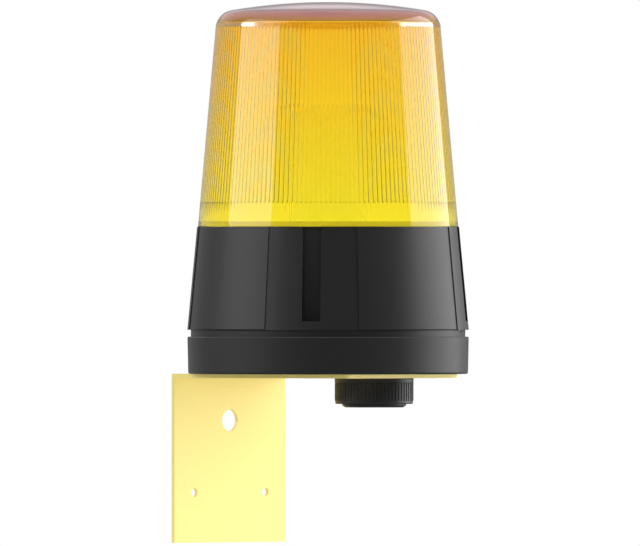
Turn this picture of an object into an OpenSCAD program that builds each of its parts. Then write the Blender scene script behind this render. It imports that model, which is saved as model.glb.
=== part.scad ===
/* [Bracket] */
// Thickness of the bracket's sheet steel
sheet_t = 2; // [1.5:0.1:3]
// Width of the bracket along the wall
bracket_w = 78; // [74:1:100]
// Distance from the base's outer edge in to the shelf's free end
shelf_inset = 17.3; // [16.5:0.1:18.5]
// Height of the wall leg, from the shelf's top to its lower end
wall_leg_h = 84.4; // [70:0.2:120]
// Inner radius of the fold
fold_r = 1; // [0.2:0.1:2]
// Outer radius of the fold
fold_outer_r = 0.5; // [0.2:0.1:3]
// Corner radius at the shelf's free end
shelf_corner_r = 2; // [0.5:0.5:10]
// Distance between the two wall screws
wall_screw_pitch = 50; // [30:1:60]
// Diameter of the wall screw holes
wall_screw_d = 4.5; // [3.5:0.1:6]
// Drop of the wall screws below the shelf's top
wall_screw_drop = 59.4; // [45:0.2:66]
// Diameter of the large hole in the wall leg
large_hole_d = 11; // [8:0.5:16]
// Drop of the large hole below the shelf's top
large_hole_drop = 23.4; // [16:0.2:40]

/* [Base] */
// Gap between the base and the wall
wall_gap = 1.3; // [1.3:0.1:6]
// Radius of the base at its top edge
base_r = 70; // [69:0.1:71]
// Height of the base's outer wall
base_h = 18.56; // [17:0.1:24]
// Draft angle of the base's outer wall
base_draft = 1.1; // [0:0.1:3]
// Thickness of the base's outer wall
base_wall = 3; // [2.5:0.1:4]
// Thickness of the base's floor
floor_t = 3; // [2.5:0.1:4]
// Radius of the moulded edges
edge_r = 0.4; // [0.2:0.1:0.8]
// Radius of the base's lower edge
base_edge_r = 1; // [0.4:0.1:1.5]
// Depth of the groove between base and housing
groove_depth = 1.7; // [1.4:0.1:2.2]
// Thickness of the collar's wall
collar_t = 3; // [2.6:0.1:4]
// Height of the groove between base and housing
groove_h = 3.38; // [2.58:0.1:4.98]

/* [Upper housing] */
// Reach of the housing's foot past the base's radius
housing_overhang = 0.05; // [0:0.05:0.6]
// Distance from the base's radius in to the housing's rim
rim_inset = 4.8; // [3:0.1:5]
// Height of the housing's wall
housing_h = 51.26; // [48:0.1:60]
// Thickness of the housing's wall
housing_wall = 2.4; // [2:0.1:3]
// Depth of one step between the raised pads, the wall and the sunk panels
level_step = 0.45; // [0.2:0.05:0.6]
// Angle from one edge of a sunk panel to the other
panel_angle = 39.8; // [36:0.2:50]
// Angle from one edge of a raised pad to the other
pad_angle = 32; // [24:0.5:40]
// Number of slots down the housing's wall
slot_count = 4; // [4:1:4]
// Direction of the first slot, turned about the beacon's axis
slot_turn = 37.9; // [30:0.1:45]
// Width of a slot
slot_w = 9.1; // [7:0.1:12]
// Depth of a slot below the housing's rim
slot_depth = 2.6; // [2.2:0.1:2.8]
// Height of a slot's lower end above the housing's foot
slot_end_h = 4.36; // [4:0.1:10]
// Height of the ring that takes the lens, below the rim
lens_seat_h = 8.2; // [7.8:0.1:9]
// Thickness of the deck across the housing
deck_t = 2.4; // [2:0.1:3]
// Height of the locating spigot inside the collar
spigot_h = 3; // [2:0.1:5]

/* [Lens] */
// Height of the lens above the housing's rim
lens_h = 111.8; // [100:0.1:125]
// Radial step from the housing's rim in to the lens
lens_step = 0.4; // [0.2:0.1:0.8]
// Taper angle of the lens's wall
lens_taper = 5.07; // [3:0.1:6]
// Thickness of the lens's wall
lens_wall = 2; // [1.8:0.1:2.2]
// Radius of the shoulder between wall and crown
shoulder_r = 9.4; // [7:0.2:14]
// Radius of the lens's crown
crown_r = 287; // [200:1:400]
// Thickness of the lens's crown
crown_t = 4.7; // [2:0.1:5]
// Radius of the corner between the inner wall and the ceiling
ceiling_corner_r = 1; // [0.5:0.1:4]
// Height of the smooth band below the flutes
band_h = 11.8; // [8:0.1:16]
// Number of flutes on the inside of the lens
flute_count = 160; // [120:1:160]
// Depth of a flute
flute_depth = 0.8; // [0.4:0.1:1]
// Share of the wall that the flutes' ridges cover
flute_share = 0.5; // [0.3:0.05:1]
// Height of the lens's welded ring inside its lower edge
ring_t = 2.5; // [2:0.1:3]
// Radial depth of the step in the lens's wall above the welded ring
ring_step = 0.8; // [0.5:0.1:1]
// Distance from the housing's rim in to the inside of the bayonet skirt
skirt_inset = 8.7; // [8.4:0.1:9.2]
// Thickness of the bayonet skirt
skirt_t = 1.8; // [1.6:0.1:2]
// Height of the bayonet skirt below the rim
skirt_h = 6.4; // [6:0.1:7]
// Number of bayonet lugs on the skirt
lug_count = 3; // [2:1:4]
// Angle that one lug covers
lug_angle = 18; // [10:1:24]
// Height of a lug
lug_h = 2; // [1.6:0.1:2.2]
// Radial reach of a lug
lug_reach = 1.5; // [1:0.1:1.6]

/* [Flash unit] */
// Gap between the reflector plate and the bayonet skirt
reflector_gap = 1; // [0.5:0.1:5]
// Thickness of the reflector plate
reflector_t = 1.2; // [0.8:0.1:2]
// Radius of the tube's ceramic socket
socket_r = 16; // [14:0.5:18]
// Radius of the socket's flange on the reflector
socket_flange_r = 22; // [20:0.5:24]
// Thickness of the socket's flange
socket_flange_t = 2.4; // [2:0.1:4]
// Radius of the flash tube's glass
tube_r = 3; // [2.5:0.1:4]
// Distance between the two legs of the flash tube
tube_pitch = 18; // [14:0.5:22]
// Height of the flash tube above its socket
tube_h = 46; // [30:1:60]
// Length of the metal ends of the flash tube
tube_end_h = 6; // [4:0.5:8]
// Outer radius of the glass cover over the flash tube
cover_r = 19.5; // [18:0.5:20]
// Thickness of the glass cover
cover_t = 1.5; // [1:0.1:2]
// Height of the glass cover
cover_h = 66; // [62:1:80]

/* [Electronics] */
// Gap between the circuit board and the housing screws' columns
board_gap = 1; // [0.5:0.1:2]
// Thickness of the circuit board
board_t = 1.6; // [1:0.1:2]
// Depth of the board's top below the deck
board_drop = 6; // [5:0.5:8]
// Radius of the main capacitor
main_cap_r = 11; // [8:0.5:12]
// Length of the main capacitor
main_cap_l = 28; // [20:1:29]
// Width of the inverter transformer's core
transformer_w = 26; // [18:1:28]
// Depth of the inverter transformer's core
transformer_d = 22; // [16:1:22]
// Height of the inverter transformer's core
transformer_h = 20; // [14:1:24]
// Radius of the trigger coil
trigger_coil_r = 6; // [4:0.5:7]
// Length of the trigger coil
trigger_coil_l = 14; // [10:1:18]
// Number of small capacitors
small_cap_count = 3; // [1:1:3]
// Radius of a small capacitor
small_cap_r = 3.6; // [2.5:0.1:4]
// Length of a small capacitor
small_cap_l = 11; // [7:0.5:14]
// Number of resistors
resistor_count = 4; // [1:1:4]
// Length of a resistor's body
resistor_l = 8; // [6:0.5:9]
// Radius of a resistor's end
resistor_r = 1.5; // [1:0.1:2]
// Width of the switching transistor
transistor_w = 10; // [8:0.5:11]
// Height of the switching transistor's body
transistor_h = 15; // [10:0.5:16]
// Length of the fuse
fuse_l = 20; // [16:0.5:20]
// Radius of the fuse
fuse_r = 2.5; // [2:0.1:2.6]
// Number of poles of the terminal block
pole_count = 6; // [2:1:6]
// Distance between two poles
pole_pitch = 5; // [5:0.1:5.4]
// Depth of the terminal block
terminal_d = 12; // [10:0.5:13]
// Height of the terminal block
terminal_h = 13; // [10:0.5:14]

/* [Buzzer] */
// Distance from the buzzer's flange to the shelf's free end
buzzer_edge = 0.8; // [0.2:0.1:1.2]
// Radius of the buzzer's flange under the shelf
buzzer_r = 19.6; // [19:0.1:20]
// Thickness of the buzzer's flange
buzzer_flange_t = 2.3; // [2.2:0.1:3]
// Radial step from the flange in to the cap's plain band
cap_band_step = 0.3; // [0:0.1:0.6]
// Height of the cap's knurled band
knurl_h = 8.9; // [6:0.1:10]
// Height of the cap's plain band below the knurl
cap_band_h = 1.6; // [1.2:0.1:4]
// Number of ribs on the knurled band
knurl_count = 64; // [48:1:72]
// Depth of the knurl
knurl_depth = 0.35; // [0.2:0.05:0.8]
// Radial step from the flange in to the sounding boss
boss_step = 3.7; // [3.1:0.1:5]
// Taper of the sounding boss, from its root to its end
boss_taper = 1.5; // [0.5:0.1:2]
// Height of the sounding boss
boss_h = 1.7; // [1.5:0.1:3]
// Wall thickness of the buzzer's cap
cap_wall = 1.6; // [1.2:0.1:1.8]
// Radius of the buzzer's neck through the shelf and the floor
neck_r = 10.9; // [10:0.1:11]
// Wall thickness of the buzzer's neck
neck_wall = 2; // [1.6:0.1:3]
// Height of the nut on the neck
nut_h = 5; // [4:0.5:6]
// Width of the nut across its flats
nut_flats = 27; // [26:0.5:28]
// Radius of the sound holes
sound_hole_r = 1.5; // [1:0.1:2]
// Number of sound holes on their circle
sound_hole_count = 8; // [5:1:8]

/* [Cable entry] */
// Distance of the cable entry from the beacon's axis, towards the wall
entry_offset = 28; // [27:0.5:30]
// Radius of the cable bore through the grommet
entry_bore_r = 3.5; // [2.5:0.1:4.5]
// Radius of the grommet's neck
entry_neck_r = 7.5; // [7:0.1:9]
// Radius of the grommet's flanges
entry_flange_r = 10; // [9.5:0.1:11]
// Thickness of the grommet's flanges
entry_flange_t = 1.8; // [1.2:0.1:1.9]

/* [Fasteners] */
// Shank diameter of the base and housing screws
m4_d = 4; // [4:0.1:4.4]
// Head diameter of the base and housing screws
m4_head_d = 7.6; // [7.2:0.1:8]
// Head height of a pan head housing screw
m4_head_h = 2.6; // [2.2:0.1:3]
// Length of a base screw
base_screw_l = 12; // [10:0.5:14]
// Half the distance between two base screws
base_screw_at = 30; // [29:0.5:31]
// Length of a housing screw below its head
housing_screw_l = 22; // [18:0.5:24]
// Distance from the bayonet skirt's inside in to the housing screws' axes
housing_screw_inset = 3.1; // [2.9:0.1:3.3]
// Depth of the housing screws' heads above the housing's foot
housing_screw_h = 8; // [6:0.5:12]
// Radius of a screw boss or column
column_r = 5.4; // [5.2:0.1:5.6]
// Shank diameter of the board screws
m3_d = 3; // [2.9:0.1:3.2]
// Head diameter of the board screws
m3_head_d = 5.6; // [5.4:0.1:6]
// Length of a board screw below its head
board_screw_l = 6; // [5:0.5:6.5]
// Radius of the bosses that carry the board
board_boss_r = 3.4; // [3:0.1:4]
// Distance from the circuit board's edge in to the board screws' axes
board_screw_inset = 5; // [4.5:0.1:5.5]

/* [Clearances] */
// Radial clearance of a screw's shank in the hole that it passes
screw_clear = 0.3; // [0.2:0.05:0.4]
// Radial clearance of a screw's thread in the hole that it bites
thread_clear = 0.02; // [0.01:0.01:0.05]
// Radial clearance of a part that passes through another
pass_clear = 0.3; // [0.1:0.05:0.4]
// Clearance of a part that lies in a recess
seat_clear = 0.15; // [0.1:0.05:0.2]

/* [Hidden] */
$fn = 96;

// The cuts run past the faces that they open by this much, and joined shapes run into each other by sink
over = 1;
sink = 0.5;

// Radii of the collar and the housing, which follow the base
collar_r = base_r - groove_depth;
housing_foot_r = base_r + housing_overhang;
housing_rim_r = base_r - rim_inset;
slot_floor_r = housing_rim_r - slot_depth;
skirt_r = housing_rim_r - skirt_inset;
reflector_r = skirt_r - reflector_gap;
housing_screw_r = skirt_r - housing_screw_inset;
board_r = housing_screw_r - column_r - board_gap;
board_screw_r = board_r - board_screw_inset;

// Places on the shelf: beacon's axis from the wall, shelf's free end, buzzer's axis from the beacon's
beacon_offset = base_r + wall_gap;
shelf_len = beacon_offset + base_r - shelf_inset;
buzzer_offset = base_r - shelf_inset - buzzer_edge - buzzer_r;

// Heights above the base's underside, which lies on the shelf
collar_top = base_h + groove_h;
rim_z = collar_top + housing_h;
deck_top = rim_z - lens_seat_h;
deck_bottom = deck_top - deck_t;
board_top = deck_bottom - board_drop;
board_bottom = board_top - board_t;
reflector_top = deck_top + reflector_t;
socket_top = reflector_top + socket_flange_t;

// Seals: section of the ring between base and housing, and of the ring under the lens
housing_seal_w = 1.4;
housing_seal_h = 1.4;
housing_seal_r = collar_r - (collar_t + housing_seal_w) / 2;
lens_seal_w = 1.5;
lens_seal_h = 1.2;
lens_seal_gap = 0.9;
lens_seal_r = skirt_r + skirt_t + pass_clear + lens_seal_gap;

// Slope of the housing's wall, and its radius at a height above the foot
housing_slope = (housing_foot_r - housing_rim_r) / housing_h;
function housing_r(h) = housing_foot_r - housing_slope * h;

// Base: slope under the collar, ribs to the wall and ledges beside the terminal block
collar_slope_h = 2;
rib_t = 2;
rib_drop = 2.5;
ledge_h = 3;

// Housing: inner radius of its locating foot, and the openings round the lens's skirt
spigot_r = collar_r - collar_t - pass_clear;
spigot_t = 2;
foot_band_h = 3;
foot_slope_h = 6;
seat_r = skirt_r + skirt_t + pass_clear;
lug_groove_r = skirt_r + skirt_t + lug_reach + pass_clear;
lug_lip_h = skirt_h - lug_h - pass_clear;
lug_way_r = skirt_r + skirt_t + lug_reach + seat_clear;
lug_way_angle = lug_angle + 3;
lug_way_turn = 1.6 * lug_angle;
lug_turn = slot_turn + 45;

// Lens: foot radius, and the curve of its outer face
lens_r = housing_rim_r - lens_step;
weld_r = lens_r - lens_wall / cos(lens_taper) + ring_step;
flute_low = band_h;
flute_gap = 0.1;
land_step = 0.1;
SHOULDER_STEPS = 10;
CROWN_STEPS = 10;

// Knurl: step of its crests inside the flange, and its corners as shares of the pitch and the depth
crest_step = 0.05;
KNURL_CORNERS = [[0, 0], [0.5, 0], [0.65, 1], [0.85, 1]];

// Buzzer: radii of its cap, and heights below the base's underside
cap_band_r = buzzer_r - cap_band_step;
boss_r = buzzer_r - boss_step;
boss_end_r = boss_r - boss_taper;
flange_bottom = -sheet_t - buzzer_flange_t;
knurl_bottom = flange_bottom - knurl_h;
band_bottom = knurl_bottom - cap_band_h;
boss_bottom = band_bottom - boss_h;
capsule_r = buzzer_r - cap_wall - 2 * knurl_depth;
buzzer_seal_w = 2;
buzzer_seal_h = 1.2;
buzzer_seal_edge = 2.2;
buzzer_seal_r = buzzer_r - buzzer_seal_edge - buzzer_seal_w;
capsule_rise = 1;
capsule_wall = 2;
capsule_bottom = knurl_bottom + capsule_rise;
capsule_roof = 1.5;
neck_end_h = 1;
neck_bore_h = floor_t + nut_h + neck_end_h - capsule_bottom + over;

// Screws
pilot_d = m4_d + 2 * thread_clear;
shank_hole_d = m4_d + 2 * screw_clear;
base_boss_h = base_screw_l - sheet_t + 2 * over;
pilot_gap = 1.5;
housing_pilot_h = housing_screw_l - housing_screw_h + pilot_gap;

// Terminal block, the screws in it and the wires' ways in
terminal_end_t = 1;
terminal_w = pole_count * pole_pitch + 2 * terminal_end_t;
terminal_screw_r = 1.7;
terminal_screw_h = 4;
terminal_slot_w = 0.6;
wire_way_w = 3.2;
wire_way_d = 3;
wire_way_h = 2;

// Buzzer's disc: its thickness and the rim left bare round its ceramic
disc_t = 0.8;
disc_gap = 0.2;
disc_rim = 4;

// Components: spacings, and their places as shares of the board's radius
small_cap_pitch = 12;
resistor_pitch = 6;
resistor_core_r = 1.2;
resistor_end_l = 1.4;
coil_flange_t = 1.6;
transistor_t = 4.4;
leg_w = 0.8;
leg_t = 0.6;
leg_h = 3;
clip_w = 5;
clip_d = 6;
clip_h = 2.2;
fuse_h = 4;
MAIN_CAP_AT = [-0.43, -0.26];
TRANSFORMER_AT = [0.38, -0.26];
COIL_AT = [0.38, 0.3];
SMALL_CAPS_AT = [-0.47, 0.32];
RESISTORS_AT = [-0.06, 0.7];
TRANSISTOR_AT = [0, -0.77];
FUSE_AT = [0, 0.51];

function turned(r, a) = [r * cos(a), r * sin(a)];
function reversed(points) = [for (i = [len(points) - 1 : -1 : 0]) points[i]];

// Places shapes on the beacon's axis, with height counted from the base's underside
module on_beacon(h = 0) {
    translate([0, -beacon_offset, wall_screw_drop + h]) children();
}

module on_buzzer(h = 0) {
    on_beacon(h) translate([0, -buzzer_offset, 0]) children();
}

// Repeats a shape at the corners of the square of base screws
module at_base_screws() {
    for (x = [-1, 1], y = [-1, 1])
        translate([x * base_screw_at, y * base_screw_at, 0]) children();
}

// Repeats a shape between the housing's slots
module at_housing_screws() {
    for (i = [0 : slot_count - 1])
        rotate(slot_turn + (i + 0.5) * 360 / slot_count) translate([housing_screw_r, 0, 0]) children();
}

module at_board_screws() {
    for (i = [0 : slot_count - 1])
        rotate(slot_turn + i * 360 / slot_count) translate([board_screw_r, 0, 0]) children();
}

module ring(outer_r, inner_r, h) {
    difference() {
        cylinder(r = outer_r, h = h);
        translate([0, 0, -over]) cylinder(r = inner_r, h = h + 2 * over);
    }
}

// Pan head screw, its head's underside at height 0 and its shank below
module pan_screw(d, l, head_d, head_h) {
    recess = d * 0.22;
    difference() {
        union() {
            translate([0, 0, -l]) cylinder(d = d, h = l);
            rotate_extrude()
                polygon([
                    [0, 0], [head_d / 2, 0], [head_d / 2, head_h * 0.55],
                    [head_d * 0.42, head_h * 0.88], [head_d * 0.3, head_h], [0, head_h]
                ]);
        }
        for (a = [0, 90])
            rotate(a) translate([-d / 2, -recess / 2, head_h * 0.45]) cube([d, recess, head_h]);
    }
}

// Countersunk screw, its head's face at height 0 and its shank above
module countersunk_screw(d, l, head_d) {
    recess = d * 0.22;
    head_h = (head_d - d) / 2;
    difference() {
        union() {
            cylinder(d = d, h = l);
            cylinder(d1 = head_d, d2 = d, h = head_h);
        }
        for (a = [0, 90])
            rotate(a) translate([-d / 2, -recess / 2, -over]) cube([d, recess, over + head_h * 0.7]);
    }
}

// Folded sheet: its section is drawn across the fold and run along the wall
module bracket_section() {
    outer_r = fold_outer_r;
    leg_low = wall_screw_drop - wall_leg_h;
    top = wall_screw_drop;
    under = top - sheet_t;
    outer = [for (a = [0 : 15 : 90]) [outer_r * (1 - cos(a)), top - outer_r * (1 - sin(a))]];
    inner = [for (a = [0 : 15 : 90]) [sheet_t + fold_r * (1 - sin(a)), under - fold_r * (1 - cos(a))]];
    free_end = [[shelf_len, top], [shelf_len, under]];
    polygon(concat([[0, leg_low]], outer, free_end, inner, [[sheet_t, leg_low]]));
}

module wall_bracket() {
    corner_x = bracket_w / 2 - shelf_corner_r;
    color("khaki")
    difference() {
        translate([-bracket_w / 2, 0, 0])
            rotate([90, 0, 90]) mirror([1, 0, 0]) linear_extrude(bracket_w) bracket_section();
        // Rounded corners at the shelf's free end
        for (side = [-1, 1])
            translate([side * corner_x, shelf_corner_r - shelf_len, wall_screw_drop - sheet_t - over])
                difference() {
                    translate([side > 0 ? 0 : -shelf_corner_r - over, -shelf_corner_r - over, 0])
                        cube([shelf_corner_r + over, shelf_corner_r + over, sheet_t + 2 * over]);
                    translate([0, 0, -over]) cylinder(r = shelf_corner_r, h = sheet_t + 4 * over, $fn = 48);
                }
        // Holes in the wall leg
        for (side = [-1, 1])
            translate([side * wall_screw_pitch / 2, over, 0]) rotate([90, 0, 0])
                cylinder(d = wall_screw_d, h = sheet_t + 2 * over);
        translate([0, over, wall_screw_drop - large_hole_drop]) rotate([90, 0, 0])
            cylinder(d = large_hole_d, h = sheet_t + 2 * over);
        // Holes in the shelf: base screws, buzzer's neck and cable entry
        on_beacon(-sheet_t) at_base_screws() {
            translate([0, 0, -over]) cylinder(d = shank_hole_d, h = sheet_t + 2 * over);
            cylinder(d1 = m4_head_d + 2 * seat_clear, d2 = m4_d + 2 * seat_clear, h = (m4_head_d - m4_d) / 2);
        }
        on_buzzer(-sheet_t - over) cylinder(r = neck_r + pass_clear, h = sheet_t + 2 * over);
        on_beacon(-sheet_t - over) translate([0, entry_offset, 0])
            cylinder(r = entry_flange_r + pass_clear, h = sheet_t + 2 * over);
    }
}

module base_ring() {
    foot_r = base_r - base_h * tan(base_draft);
    rib_h = base_h - collar_slope_h - rib_drop - floor_t / 2;
    color([0.16, 0.16, 0.17])
    on_beacon()
    difference() {
        union() {
            rotate_extrude($fn = 180)
                polygon(concat(
                    [[0, 0]],
                    [for (a = [0 : 15 : 90]) [foot_r, 0] + base_edge_r * [sin(a) - 1, 1 - cos(a)]],
                    [
                        [base_r, base_h - edge_r], [base_r - edge_r, base_h], [collar_r, base_h],
                        [collar_r, collar_top], [collar_r - collar_t, collar_top],
                        [collar_r - collar_t, base_h], [foot_r - base_wall, base_h - collar_slope_h],
                        [foot_r - base_wall, floor_t], [0, floor_t]
                    ]
                ));
            at_base_screws() cylinder(r = column_r, h = base_boss_h);
            at_housing_screws() cylinder(r = column_r, h = collar_top);
            // Ribs from the housing screws' bosses to the wall
            for (i = [0 : slot_count - 1])
                rotate(slot_turn + (i + 0.5) * 360 / slot_count)
                    translate([housing_screw_r, -rib_t / 2, floor_t / 2])
                        cube([foot_r - base_wall / 2 - housing_screw_r, rib_t, rib_h]);
            // Ledges that hold the terminal block in place
            for (side = [-1, 1])
                translate([side * (terminal_w / 2 + rib_t / 2 + seat_clear) - rib_t / 2, -terminal_d / 2, 0])
                    cube([rib_t, terminal_d, floor_t + ledge_h]);
        }
        // Seat of the seal in the collar's top
        translate([0, 0, collar_top - housing_seal_h])
            ring(
                housing_seal_r + housing_seal_w + seat_clear,
                housing_seal_r - seat_clear,
                housing_seal_h + over
            );
        // Pilot holes
        translate([0, 0, -over]) at_base_screws() cylinder(d = pilot_d, h = base_boss_h);
        at_housing_screws()
            translate([0, 0, collar_top - housing_pilot_h]) cylinder(d = pilot_d, h = housing_pilot_h + over);
        // Openings for the buzzer's neck and the cable grommet
        translate([0, -buzzer_offset, -over]) cylinder(r = neck_r + pass_clear, h = floor_t + 2 * over);
        translate([0, entry_offset, -over]) cylinder(r = entry_neck_r, h = floor_t + 2 * over);
    }
}

module housing_seal() {
    color([0.1, 0.1, 0.1])
    on_beacon(collar_top - housing_seal_h)
        ring(housing_seal_r + housing_seal_w, housing_seal_r, housing_seal_h);
}

// Cone of the housing's outer face, out by a number of level steps, between two heights above the foot
module housing_cone(level, low, high, angle = 360) {
    out = (level - 1) * level_step;
    rotate([0, 0, -angle / 2])
        rotate_extrude(angle = angle, $fn = 180)
            polygon([
                [0, low], [housing_r(low) + out, low], [housing_r(high) + out, high], [0, high]
            ]);
}

module upper_housing() {
    cavity_top = deck_bottom - collar_top;
    color([0.13, 0.13, 0.14])
    on_beacon(collar_top)
    difference() {
        union() {
            difference() {
                union() {
                    // Wall, with its lower and upper edges broken
                    rotate_extrude($fn = 180)
                        polygon([
                            [spigot_r - spigot_t, -spigot_h], [spigot_r, -spigot_h], [spigot_r, 0],
                            [housing_r(0) - level_step - edge_r, 0], [housing_r(edge_r) - level_step, edge_r],
                            [housing_r(housing_h) - level_step, housing_h], [spigot_r - spigot_t, housing_h]
                        ]);
                    // Raised pads round every other slot
                    for (i = [1 : 2 : slot_count - 1])
                        rotate(slot_turn + i * 360 / slot_count) housing_cone(1, 0, housing_h, pad_angle);
                }
                // Sunk panels round the slots between them
                for (i = [0 : 2 : slot_count - 1])
                    rotate(slot_turn + i * 360 / slot_count)
                        difference() {
                            housing_cone(2, 0, housing_h + over, panel_angle);
                            housing_cone(-1, -over, housing_h + 2 * over);
                        }
                // Inside of the wall
                housing_inside(cavity_top);
            }
            // Walls of the slots' pockets
            intersection() {
                for (i = [0 : slot_count - 1])
                    rotate(slot_turn + i * 360 / slot_count)
                        translate([slot_floor_r, -slot_w / 2, slot_end_h] - housing_wall * [1, 1, 1])
                            cube([housing_foot_r, slot_w + 2 * housing_wall, housing_h]);
                housing_cone(-1, 0, housing_h);
            }
            // Deck, lens seat, columns and board bosses
            translate([0, 0, cavity_top])
                cylinder(r = housing_rim_r - 2 * level_step - sink, h = housing_h - cavity_top, $fn = 180);
            at_housing_screws() cylinder(r = column_r, h = cavity_top + sink);
            translate([0, 0, cavity_top - board_drop])
                at_board_screws() cylinder(r = board_boss_r, h = board_drop + sink);
        }
        // Slots
        for (i = [0 : slot_count - 1])
            rotate(slot_turn + i * 360 / slot_count)
                translate([slot_floor_r, -slot_w / 2, slot_end_h]) cube([housing_foot_r, slot_w, housing_h]);
        // Seat of the lens: opening for the skirt, groove for its lugs and their way in
        translate([0, 0, deck_top - collar_top]) cylinder(r = seat_r, h = lens_seat_h + over, $fn = 180);
        translate([0, 0, deck_top - collar_top])
            cylinder(r = lug_groove_r, h = lens_seat_h - lug_lip_h, $fn = 180);
        for (i = [0 : lug_count - 1])
            rotate(lug_turn + lug_way_turn + i * 360 / lug_count - lug_way_angle / 2)
                translate([0, 0, housing_h])
                    rotate_extrude(angle = lug_way_angle, $fn = 180)
                        polygon([
                            [seat_r - over, -lug_lip_h - over / 2], [lug_way_r, -lug_lip_h - over / 2],
                            [lug_way_r, over], [seat_r - over, over]
                        ]);
        translate([0, 0, housing_h - lens_seal_h])
            ring(lens_seal_r + lens_seal_w + seat_clear, lens_seal_r - seat_clear, lens_seal_h + over);
        // Opening for the tube's socket
        translate([0, 0, cavity_top - over]) cylinder(r = socket_r + pass_clear, h = deck_t + 2 * over);
        // Housing screws: heads go down the columns
        at_housing_screws() {
            translate([0, 0, housing_screw_h]) cylinder(d = m4_head_d + 2 * pass_clear, h = housing_h);
            translate([0, 0, -over]) cylinder(d = shank_hole_d, h = housing_screw_h + 2 * over);
        }
        // Board screws
        translate([0, 0, cavity_top - board_drop - over])
            at_board_screws() cylinder(d = m3_d + 2 * thread_clear, h = board_screw_l + over);
    }
}

// Hollow of the upper housing below its deck
module housing_inside(top) {
    wall = housing_wall + 2 * level_step;
    rotate_extrude($fn = 180)
        polygon([
            [0, -spigot_h - over], [spigot_r - spigot_t, -spigot_h - over], [spigot_r - spigot_t, foot_band_h],
            [housing_r(foot_slope_h) - wall, foot_slope_h], [housing_r(top) - wall, top], [0, top]
        ]);
}

// Countersunk screws up through the shelf into the base
module base_screws() {
    color("silver")
    on_beacon(-sheet_t) at_base_screws() countersunk_screw(m4_d, base_screw_l, m4_head_d);
}

module housing_screws() {
    color("silver")
    on_beacon(collar_top + housing_screw_h) at_housing_screws()
        pan_screw(m4_d, housing_screw_l, m4_head_d, m4_head_h);
}

// Centre of the lens's crown, and of a corner that touches a wall line and a crown arc inside the outer face
crown_z = lens_h - crown_r;
function corner_c(wall, crown, r) =
    let (across = lens_r * cos(lens_taper) - wall - r - crown_z * sin(lens_taper))
    let (along = sqrt(pow(crown_r - crown - r, 2) - across * across))
    [0, crown_z] + across * [cos(lens_taper), sin(lens_taper)] + along * [-sin(lens_taper), cos(lens_taper)];
function lens_wall_r(h, inset) = lens_r - inset / cos(lens_taper) - h * tan(lens_taper);

// Corner and crown from the wall in to the axis, inside the outer face by a wall and a crown thickness
function lens_top_curve(wall, crown, r) =
    let (centre = corner_c(wall, crown, r))
    let (end = atan2(centre[1] - crown_z, centre[0]))
    let (turn = (end - lens_taper) / SHOULDER_STEPS)
    let (crown_turn = (90 - end) / CROWN_STEPS)
    concat(
        [for (i = [0 : SHOULDER_STEPS]) centre + turned(r, lens_taper + i * turn)],
        [for (i = [1 : CROWN_STEPS]) [0, crown_z] + turned(crown_r - crown, end + i * crown_turn)]
    );

// The flutes end where the ceiling's corner starts
ceiling_c = corner_c(lens_wall, crown_t, ceiling_corner_r);
flute_high = ceiling_c[1] + ceiling_corner_r * sin(lens_taper) - flute_gap;

// Inside of the lens from its band to its shoulder, with ridges and lands that taper with the wall
module flute_core() {
    low = flute_low - over;
    high = flute_high + over;
    valley_low = lens_wall_r(low, lens_wall) - land_step;
    valley_high = lens_wall_r(high, lens_wall) - land_step;
    step = 360 / flute_count;
    translate([0, 0, low])
        linear_extrude(height = high - low, scale = valley_high / valley_low)
            polygon([for (i = [0 : flute_count - 1], side = [-1, 0, 1])
                turned(valley_low - (1 - abs(side)) * flute_depth, (i + side * flute_share / 2) * step)]);
}

// The lens is built up in three stretches that meet face to face: smooth band, flutes and crown
module lens() {
    band_in = lens_wall_r(flute_low, lens_wall);
    crown_in = lens_wall_r(flute_high, lens_wall);
    color([1, 0.72, 0.05, 0.75])
    on_beacon(rim_z) {
        rotate_extrude($fn = 180)
            polygon([
                [weld_r, 0], [lens_r - edge_r / 2, 0], [lens_wall_r(edge_r / 2, 0), edge_r / 2],
                [lens_wall_r(flute_low, 0), flute_low], [band_in, flute_low],
                [lens_wall_r(ring_t, lens_wall), ring_t], [weld_r, ring_t]
            ]);
        difference() {
            rotate_extrude($fn = 180)
                polygon([
                    [0, flute_low], [lens_wall_r(flute_low, 0), flute_low],
                    [lens_wall_r(flute_high, 0), flute_high], [0, flute_high]
                ]);
            flute_core();
        }
        rotate_extrude($fn = 180)
            polygon(concat(
                [[crown_in, flute_high], [lens_wall_r(flute_high, 0), flute_high]],
                lens_top_curve(0, 0, shoulder_r),
                reversed(lens_top_curve(lens_wall, crown_t, ceiling_corner_r))
            ));
    }
}

// Ring welded inside the lens's lower edge, with its bayonet skirt and lugs
module lens_ring() {
    color([1, 0.72, 0.05, 0.75])
    on_beacon(rim_z) {
        rotate_extrude($fn = 180)
            polygon([
                [skirt_r, -skirt_h], [skirt_r + skirt_t, -skirt_h], [skirt_r + skirt_t, 0],
                [weld_r - seat_clear, 0], [weld_r - seat_clear, ring_t], [skirt_r, ring_t]
            ]);
        for (i = [0 : lug_count - 1])
            rotate(lug_turn + i * 360 / lug_count - lug_angle / 2)
                rotate_extrude(angle = lug_angle, $fn = 180)
                    polygon([
                        [skirt_r + skirt_t / 2, -skirt_h], [skirt_r + skirt_t + lug_reach, -skirt_h],
                        [skirt_r + skirt_t + lug_reach, lug_h - skirt_h], [skirt_r + skirt_t / 2, lug_h - skirt_h]
                    ]);
    }
}

module lens_seal() {
    color([0.1, 0.1, 0.1])
    on_beacon(rim_z - lens_seal_h) ring(lens_seal_r + lens_seal_w, lens_seal_r, lens_seal_h);
}

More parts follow.
